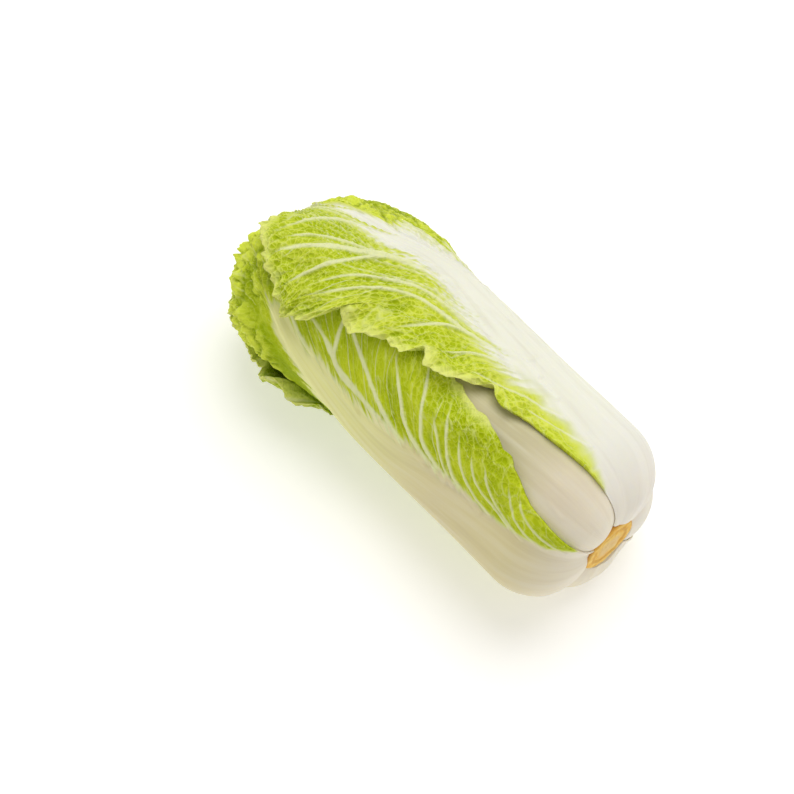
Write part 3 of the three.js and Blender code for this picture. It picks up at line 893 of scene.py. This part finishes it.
# %% The looks of the two front leaves
FRONT_GREEN = [
    [0, 1.3, 1.6], [20, 0.9, 1.1], [30, 0.78, 0.9], [42, 0.65, 0.77], [56, 0.54, 0.65], [82, 0.42, 0.53],
    [110, 0.34, 0.45], [133, 0.35, 0.46], [157, 0.34, 0.45], [180, 0.23, 0.35], [200, 0.16, 0.26],
    [226, 0.11, 0.2], [243, 0.1, 0.18], [256, 0.06, 0.14], [268, -0.1, 0.05],
]
FRONT_VEINS = (
    (1.6, 1.0, ((12, 180), (8, 202), (2, 226), (6, 243), (18, 258))),
    (2.6, 1.9, ((34, 140), (31, 158), (25, 182), (17, 202), (18, 213), (20, 238))),
    (1.4, 1.1, ((19, 212), (30, 217), (43, 221), (54, 230))),
    (2.0, 1.3, ((34, 124), (35, 146), (39, 178), (41, 208), (50, 226))),
    (2.0, 1.4, ((35, 106), (39, 128), (48, 148), (58, 160), (67, 178))),
    (1.7, 1.1, ((37, 100), (41, 118), (48, 132), (57, 138), (75, 149), (88, 160))),
    (1.0, 0.6, ((38, 95), (42, 108), (50, 117), (60, 125), (71, 137))),
    (1.5, 0.8, ((37, 76), (40, 92), (44, 103), (55, 113), (68, 122), (82, 131))),
    (1.2, 0.7, ((41, 68), (44, 82), (50, 94), (59, 104), (74, 115))),
    (1.1, 0.6, ((46, 54), (50, 68), (52, 80), (58, 91), (72, 102))),
    (1.0, 0.6, ((46, 44), (49, 56), (53, 68), (60, 80), (72, 90))),
    (1.0, 0.6, ((50, 32), (52, 43), (56, 53), (62, 60), (72, 70))),
    (0.9, 0.5, ((55, 22), (57, 32), (59, 42), (64, 52), (72, 60))),
)
BACK_VEINS = (
    (1.4, 1.2, ((-6, 150), (-9, 180), (-12, 224), (-13, 246), (-16, 264), (-25, 282), (-38, 292))),
    (2.5, 1.9, ((-14, 122), (-13, 152), (-14, 180), (-20, 207), (-23, 231), (-32, 248), (-42, 265),
                (-54, 288))),
    (1.0, 0.8, ((-17, 212), (-24, 238), (-30, 255), (-35, 270), (-44, 290))),
    (1.5, 0.9, ((-24, 231), (-32, 239), (-48, 250), (-60, 259), (-74, 276))),
    (1.8, 0.9, ((-21, 109), (-22, 139), (-27, 162), (-34, 190), (-38, 210), (-47, 234), (-67, 251))),
    (1.6, 0.8, ((-28, 138), (-36, 166), (-43, 198), (-49, 216), (-58, 231), (-76, 252))),
    (1.5, 0.7, ((-24, 108), (-27, 134), (-32, 152), (-41, 169), (-56, 181), (-70, 191))),
    (1.2, 0.6, ((-24, 90), (-25, 110), (-29, 128), (-39, 141), (-50, 151), (-62, 160))),
    (0.9, 0.5, ((-30, 75), (-35, 92), (-42, 110), (-50, 125), (-58, 143))),
    (0.8, 0.5, ((-33, 52), (-37, 68), (-42, 84), (-48, 98))),
)
BACK_GREEN = [
    [0, 1.3, 1.6], [20, 1.05, 1.4], [46, 0.66, 1.1], [60, 0.56, 1.02], [89, 0.44, 0.9], [118, 0.34, 0.8],
    [150, 0.24, 0.66], [180, 0.16, 0.54], [205, 0.12, 0.38], [230, 0.09, 0.27], [280, 0.04, 0.18],
]
FRONT_LOOK = dict(
    green=FRONT_GREEN, streak=0.05, calm_net=0.35, ribs=0.05, veins=(0.3, 0.3, 0.3), fan=5, quiet=(0.9, 0.6),
    drawn=FRONT_VEINS, plain_side=1, crumpled=((1, -0.6, -0.45, 264, 400), (-1, 0.2, 0.4, 215, 400)),
)
BACK_LOOK = dict(
    green=BACK_GREEN, streak=0.12, depth=1.3, hollow=2.6, ribs=0.5, veins=(1, 2.2, 0.42), quiet=(0.95, 0),
    drawn=BACK_VEINS, crumpled=((1, 0.0, 0.14, 236, 300), (1, 0.15, 0.4, 220, 300)), puff=0.5,
)
FRONT_SHIFT = (
    (0, 0), (110, 0), (150, -6), (180, -10), (226, -11), (243, -6), (260, 6), (275, 16), (300, 20),
)
BACK_SHIFT = ((0, 0), (170, 0), (215, 0), (250, -4), (300, -4))
TOP_VEIN = (0.7, 0.5, ((-6, 36), (-2, 51), (-1, 70), (-1, 90), (1, 120)))
print(len(FRONT_VEINS) + len(BACK_VEINS), "broad veins on the two front leaves")

# %% [markdown]
# Whites for the petioles: chalk and wax near the stem, then ivory, linen or sand, which is partly painted
# warm shade, and painted shade, a green-tan, on the top leaf's upper petiole under the other leaves. The
# greens are a deep and a light one for each leaf.

# %% The five wrapper leaves
chalk, wax = colour(250, 244, 232), colour(248, 239, 218)
# The sand tint is partly the petiole's own colour and partly painted warm shade.
ivory, linen, sand_and_shade = colour(235, 234, 226), colour(228, 216, 194), colour(222, 211, 162)
# The shade colour is painted shade, for the top leaf's upper petiole where it lies under the other leaves.
shade, primrose, cream_white = colour(198, 190, 150), colour(238, 238, 160), colour(240, 241, 226)
deep, light = colour(178, 198, 16), colour(208, 220, 66)
front_deep, front_light = colour(176, 195, 8), colour(204, 217, 40)
back_deep, back_light = colour(192, 210, 18), colour(226, 235, 80)
under_deep, under_light = colour(164, 186, 0), colour(186, 204, 20)

top_paint = leaf_paint("leaf 1 paint", wax, linen, shade, deep, light)
rear_paint = leaf_paint("leaf 2 paint", chalk, ivory, ivory, deep, light)
front_paint = leaf_paint("leaf 3 paint", wax, sand_and_shade, primrose, front_deep, front_light, 0.8, (0.1, 0.2))
back_paint = leaf_paint("leaf 4 paint", chalk, ivory, cream_white, back_deep, back_light)
under_paint = leaf_paint("leaf 5 paint", wax, sand_and_shade, sand_and_shade, under_deep, under_light)

make_leaf(0, top_paint, 100, 280, ribs=0.5, drawn=(TOP_VEIN,))
make_leaf(1, rear_paint, 120, 330)
make_leaf(2, front_paint, 124, 380, ruffle=1.9, shift=FRONT_SHIFT, **FRONT_LOOK)
make_leaf(3, back_paint, 128, 380, ruffle=1.8, shift=BACK_SHIFT, **BACK_LOOK)
make_leaf(4, under_paint, 120, 330, ruffle=0.5, veins=(0.5, 0.8, 0.3), crumpled=((1, 0.4, 0.6, 290, 400),))

# %% [markdown]
# The heart shows only between the leaf tips: a round top of tightly folded inner leaves. It is a sphere
# whose rings are moved along the heart's own outline. Every place belongs to the topmost inner leaf that
# reaches it, and has that leaf's veins and net. It is paler than the wrappers: it grew in their shade.

# %% Heart
def ball(around, along_it):
    """A sphere as a mesh, with the angle round its axis and the share of the way from its base to its top."""
    bm = bmesh.new()
    bmesh.ops.create_uvsphere(bm, u_segments=around, v_segments=along_it, radius=1)
    mesh, co = mesh_from(bm, "ball")
    return mesh, np.arctan2(co[:, 1], co[:, 0]), np.arccos(np.clip(-co[:, 2], -1, 1)) / math.pi


def make_heart(material):
    mesh, angle, share = ball(260, 170)
    axis = dict(angle=0, lean=(0, 0, 1))
    top_y = DOME_Y + HEART_RADIUS * math.pi / 2
    y = top_y * mix(0.16, 1, share) * smooth(-0.01, 0.02, share)
    place = place_on(axis, angle * REFERENCE_RADIUS, np.minimum(y, DOME_Y))
    climb = np.maximum(y - DOME_Y, 0) / HEART_RADIUS
    upwards_on_dome = radial(angle) * np.cos(climb)[:, None]
    upwards_on_dome[:, 0] += np.sin(climb)
    on_dome = y > DOME_Y
    dome_point = upwards_on_dome * HEART_RADIUS + np.array([DOME_STATION, 0, 0])
    point = np.where(on_dome[:, None], dome_point, place["point"])
    normal = np.where(on_dome[:, None], upwards_on_dome, place["normal"])
    place = dict(point=point, normal=normal, y=np.minimum(y, DOME_Y), angle=angle, direction=upwards_on_dome,
                 on_dome=on_dome)

    height = np.zeros(len(y))
    kept = None
    for number, leaf in enumerate(HEART_LEAVES):
        leaf_x, leaf_y = leaf_coordinates(leaf, place)
        reached = smooth(*HEART_LEAF_FROM, leaf_y)
        inset = -outside(leaf, leaf_x, leaf_y)
        rows = nearest_row(leaf, leaf_x, leaf_y)
        u = np.clip(leaf_x / np.maximum(half_width(leaf, margin_stations(leaf, rows)), 1), -1, 1)
        form = dict(bare=reached, inset=inset)
        look = PLAIN_LOOK | dict(depth=1.2)
        detail = leaf_detail(leaf, 10 + number, look, form, u, rows, leaf_x, leaf_y, leaf_x)
        inside = smooth(-1.5, 1.5, inset)
        curl = 1.6 * smooth(9, 0, inset) * (1 + swell(rows * 1.3, u * 2 + 5, 81 + number))
        detail["edge"] = inset + 20 * (1 - reached)
        detail["leaf_x"], detail["leaf_y"] = leaf_x, leaf_y
        height = height + (HEART_LEAF_STEP + curl) * inside * reached
        detail["relief"] = detail["relief"] * reached
        on_it = inset > 0
        kept = detail if kept is None else {key: np.where(on_it, detail[key], kept[key]) for key in detail}
    at = keep_inside(to_frame(place, height + kept["relief"] - 0.6))
    mesh.vertices.foreach_set("co", (at * 0.001).ravel())
    keep_detail(mesh, kept, kept["leaf_x"], kept["leaf_y"])
    piece = add_piece("heart_fine", mesh, material)
    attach(piece, "root")
    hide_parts("heart")


make_heart(leaf_paint("heart paint", ivory, ivory, ivory, colour(176, 198, 40), colour(212, 224, 96)))

# %% [markdown]
# The stem was cut with one stroke of a knife, so its face is nearly flat, but torn a little. Its skin is a
# thin darker rim, then comes a tan ring of vessels, and the pith in the middle is pale. The air has dried
# and browned it.

# %% Cut stem
CUT_STATION, STEM_CHAMFER = 5.5, 1.6


def make_stem():
    mesh, angle, share = ball(144, 90)
    radius = STEM_RADIUS - 0.5
    corners = [[0, 0, STEM_HEIGHT], [0.2, radius, STEM_HEIGHT], [0.4, radius, CUT_STATION + STEM_CHAMFER],
               [0.5, radius - STEM_CHAMFER, CUT_STATION], [1, 0, CUT_STATION]]
    turn_at = [row[0] for row in corners]
    out = np.interp(share, turn_at, [row[1] for row in corners])
    station = np.interp(share, turn_at, [row[2] for row in corners])
    p, q = out * np.cos(angle), out * np.sin(angle)
    face = smooth(0.42, 0.52, share)
    torn = 0.6 * swell(p / 7 + 20, q / 5 + 20, 91) + 0.25 * swell(p / 2 + 30, q / 2 + 30, 92)
    station += face * (torn + 0.35)
    station += face * 0.5 * np.exp(-(((out - 14) / 1.2) ** 2))
    uneven = 0.7 * (swell(angle * 3 + 30, station / 4, 93) - 1)
    out = out + uneven * smooth(0.2, 0.3, share) * smooth(0, 8, out)
    aside, height = AXIS_ASIDE + out * np.sin(angle), AXIS_HEIGHT + out * np.cos(angle)
    at = np.stack([REST_STATION - station, aside, height], -1)
    mesh.vertices.foreach_set("co", (keep_inside(at) * 0.001).ravel())
    keep_attribute(mesh, "from_centre", out)
    keep_uv(mesh, "face", p * 0.001, q * 0.001)

    paint = Paint("stem paint")
    from_centre, where = paint.attribute("from_centre"), paint.uv("face")
    patches, specks = paint.noise(where, 120, 4, 0.65), paint.noise(where, 900, 3, 0.7)
    tone = paint.blend(paint.ease(patches, 0.35, 0.65), colour(248, 190, 66), colour(255, 220, 120))
    pith = paint.ease(from_centre + patches * 6.0, 15.0, 10.0)
    tone = paint.blend(pith * 0.7, tone, colour(238, 208, 150))
    wavering = from_centre + patches * 3.0
    ring = paint.ease(wavering, 13.5, 15.5) * paint.ease(wavering, 18.0, 16.0)
    tone = paint.blend(ring * 0.6, tone, colour(216, 156, 52))
    tone = paint.blend(paint.ease(from_centre, 19.0, 21.0) * 0.7, tone, colour(214, 146, 52))
    tone = paint.blend(paint.ease(specks, 0.58, 0.72) * 0.35, tone, colour(186, 122, 40))
    inputs = {"Strength": 0.5, "Distance": 0.0006, "Height": specks + patches}
    bump = paint.node("ShaderNodeBump", None, inputs)
    paint.set(Base_Color=tone, Normal=bump, Roughness=0.6 + specks * 0.2)
    piece = add_piece("cut_stem_fine", mesh, paint.material)
    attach(piece, "root")
    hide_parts("cut_stem")


make_stem()

# %% [markdown]
# The studio is a pale floor under a soft sky, with one big soft lamp high on the far side. A weak lamp on
# the near left lifts the shadows there. The floor glows a little, which keeps it nearly white.

# %% Floor and light
bm = bmesh.new()
bmesh.ops.create_grid(bm, x_segments=1, y_segments=1, size=6)
floor_mesh, _ = mesh_from(bm, "floor")
floor_paint = Paint("floor paint")
floor_paint.set(Base_Color=(0.9, 0.9, 0.9, 1), Roughness=0.9)
floor_paint.set(Emission_Color=(1, 1, 1, 1), Emission_Strength=0.31)
floor_mesh.materials.append(floor_paint.material)
floor = bpy.data.objects.new("floor", floor_mesh)
bpy.context.scene.collection.objects.link(floor)

world = bpy.data.worlds.new("soft sky")
world.use_nodes = True
world.node_tree.nodes["Background"].inputs["Color"].default_value = (1, 0.96, 0.88, 1)
world.node_tree.nodes["Background"].inputs["Strength"].default_value = 0.46
bpy.context.scene.world = world


def area_lamp(name, place, size, watts):
    lamp = bpy.data.lights.new(name, "AREA")
    lamp.shape, lamp.size, lamp.energy = "DISK", size, watts
    holder = bpy.data.objects.new(name, lamp)
    holder.location = place
    holder.rotation_euler = (Vector(place) - Vector((0, 0, 0.05))).to_track_quat("Z", "Y").to_euler()
    bpy.context.scene.collection.objects.link(holder)


area_lamp("key", (-0.25, 0.85, 2.3), 2.1, 34)
area_lamp("fill", (-1.1, -1.1, 1.0), 1.4, 4)
